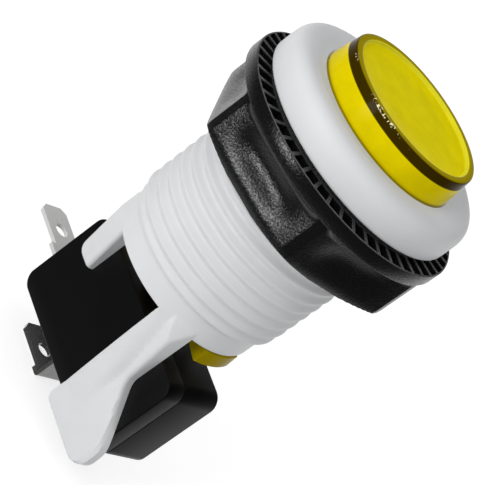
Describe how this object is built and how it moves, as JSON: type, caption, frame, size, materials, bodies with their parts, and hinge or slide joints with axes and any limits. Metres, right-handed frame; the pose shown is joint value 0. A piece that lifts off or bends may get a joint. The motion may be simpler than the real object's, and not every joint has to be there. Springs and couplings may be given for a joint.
{
  "type": "arcade push button",
  "caption": "Panel-mount arcade push button: dished translucent plunger in a round bezel, threaded barrel, hexagonal clamping nut and a snap-action switch held by rear legs.",
  "frame": {"origin": "centre of the bezel's flat underside, which seats on the front of the panel", "axes": "+Z along the button's axis, out of the panel towards the player; +X along the switch, towards its end without a terminal; the switch cover and the flared foot face -Y"},
  "size_m": [0.0402, 0.0366, 0.0643],
  "materials": {
    "white_plastic": "satin moulded",
    "yellow_plastic": "glossy translucent",
    "spring_steel": "drawn wire",
    "black_nylon": "finely grained",
    "black_phenolic": "matt",
    "switch_button": "smooth",
    "tinned_brass": "bright",
    "leaf_bronze": "rolled strip",
    "contact_silver": "polished"
  },
  "bodies": {
    "housing": {"housing": "white_plastic", "return_spring": "spring_steel", "switch_case": "black_phenolic", "switch_cover": "black_phenolic", "common_terminal": "tinned_brass", "normally_open_terminal": "tinned_brass", "fixed_contact": "contact_silver"},
    "plunger": {"plunger": "yellow_plastic"},
    "nut": {"mounting_nut": "black_nylon"},
    "switch_button": {"switch_actuator": "switch_button"},
    "contact": {"contact_leaf": "leaf_bronze", "moving_contact": "contact_silver"}
  },
  "joints": [
    {"name": "plunger_press", "type": "slide", "parent": "housing", "child": "plunger", "axis": [0, 0, -1], "range_m": [0, 0.002], "stiffness_N_per_m": 150, "springref_m": -0.004, "deforming": ["return_spring"]},
    {"name": "nut_travel", "type": "slide", "parent": "housing", "child": "nut", "axis": [0, 0, -1], "range_m": [0, 0.0155]},
    {"name": "actuator_press", "type": "slide", "parent": "housing", "child": "switch_button", "axis": [0, 0, -1], "range_m": [0, 0.001]},
    {"name": "contact_swing", "type": "hinge", "parent": "housing", "child": "contact", "pos_m": [0.0093, 0, -0.0431], "axis": [0, -1, 0], "range_deg": [0, 2.72]}
  ],
  "couplings": [
    {"joint": "actuator_press", "follows": "plunger_press", "ratio": 0.5},
    {"joint": "contact_swing", "follows": "plunger_press", "rad_per_m": 23.68}
  ]
}
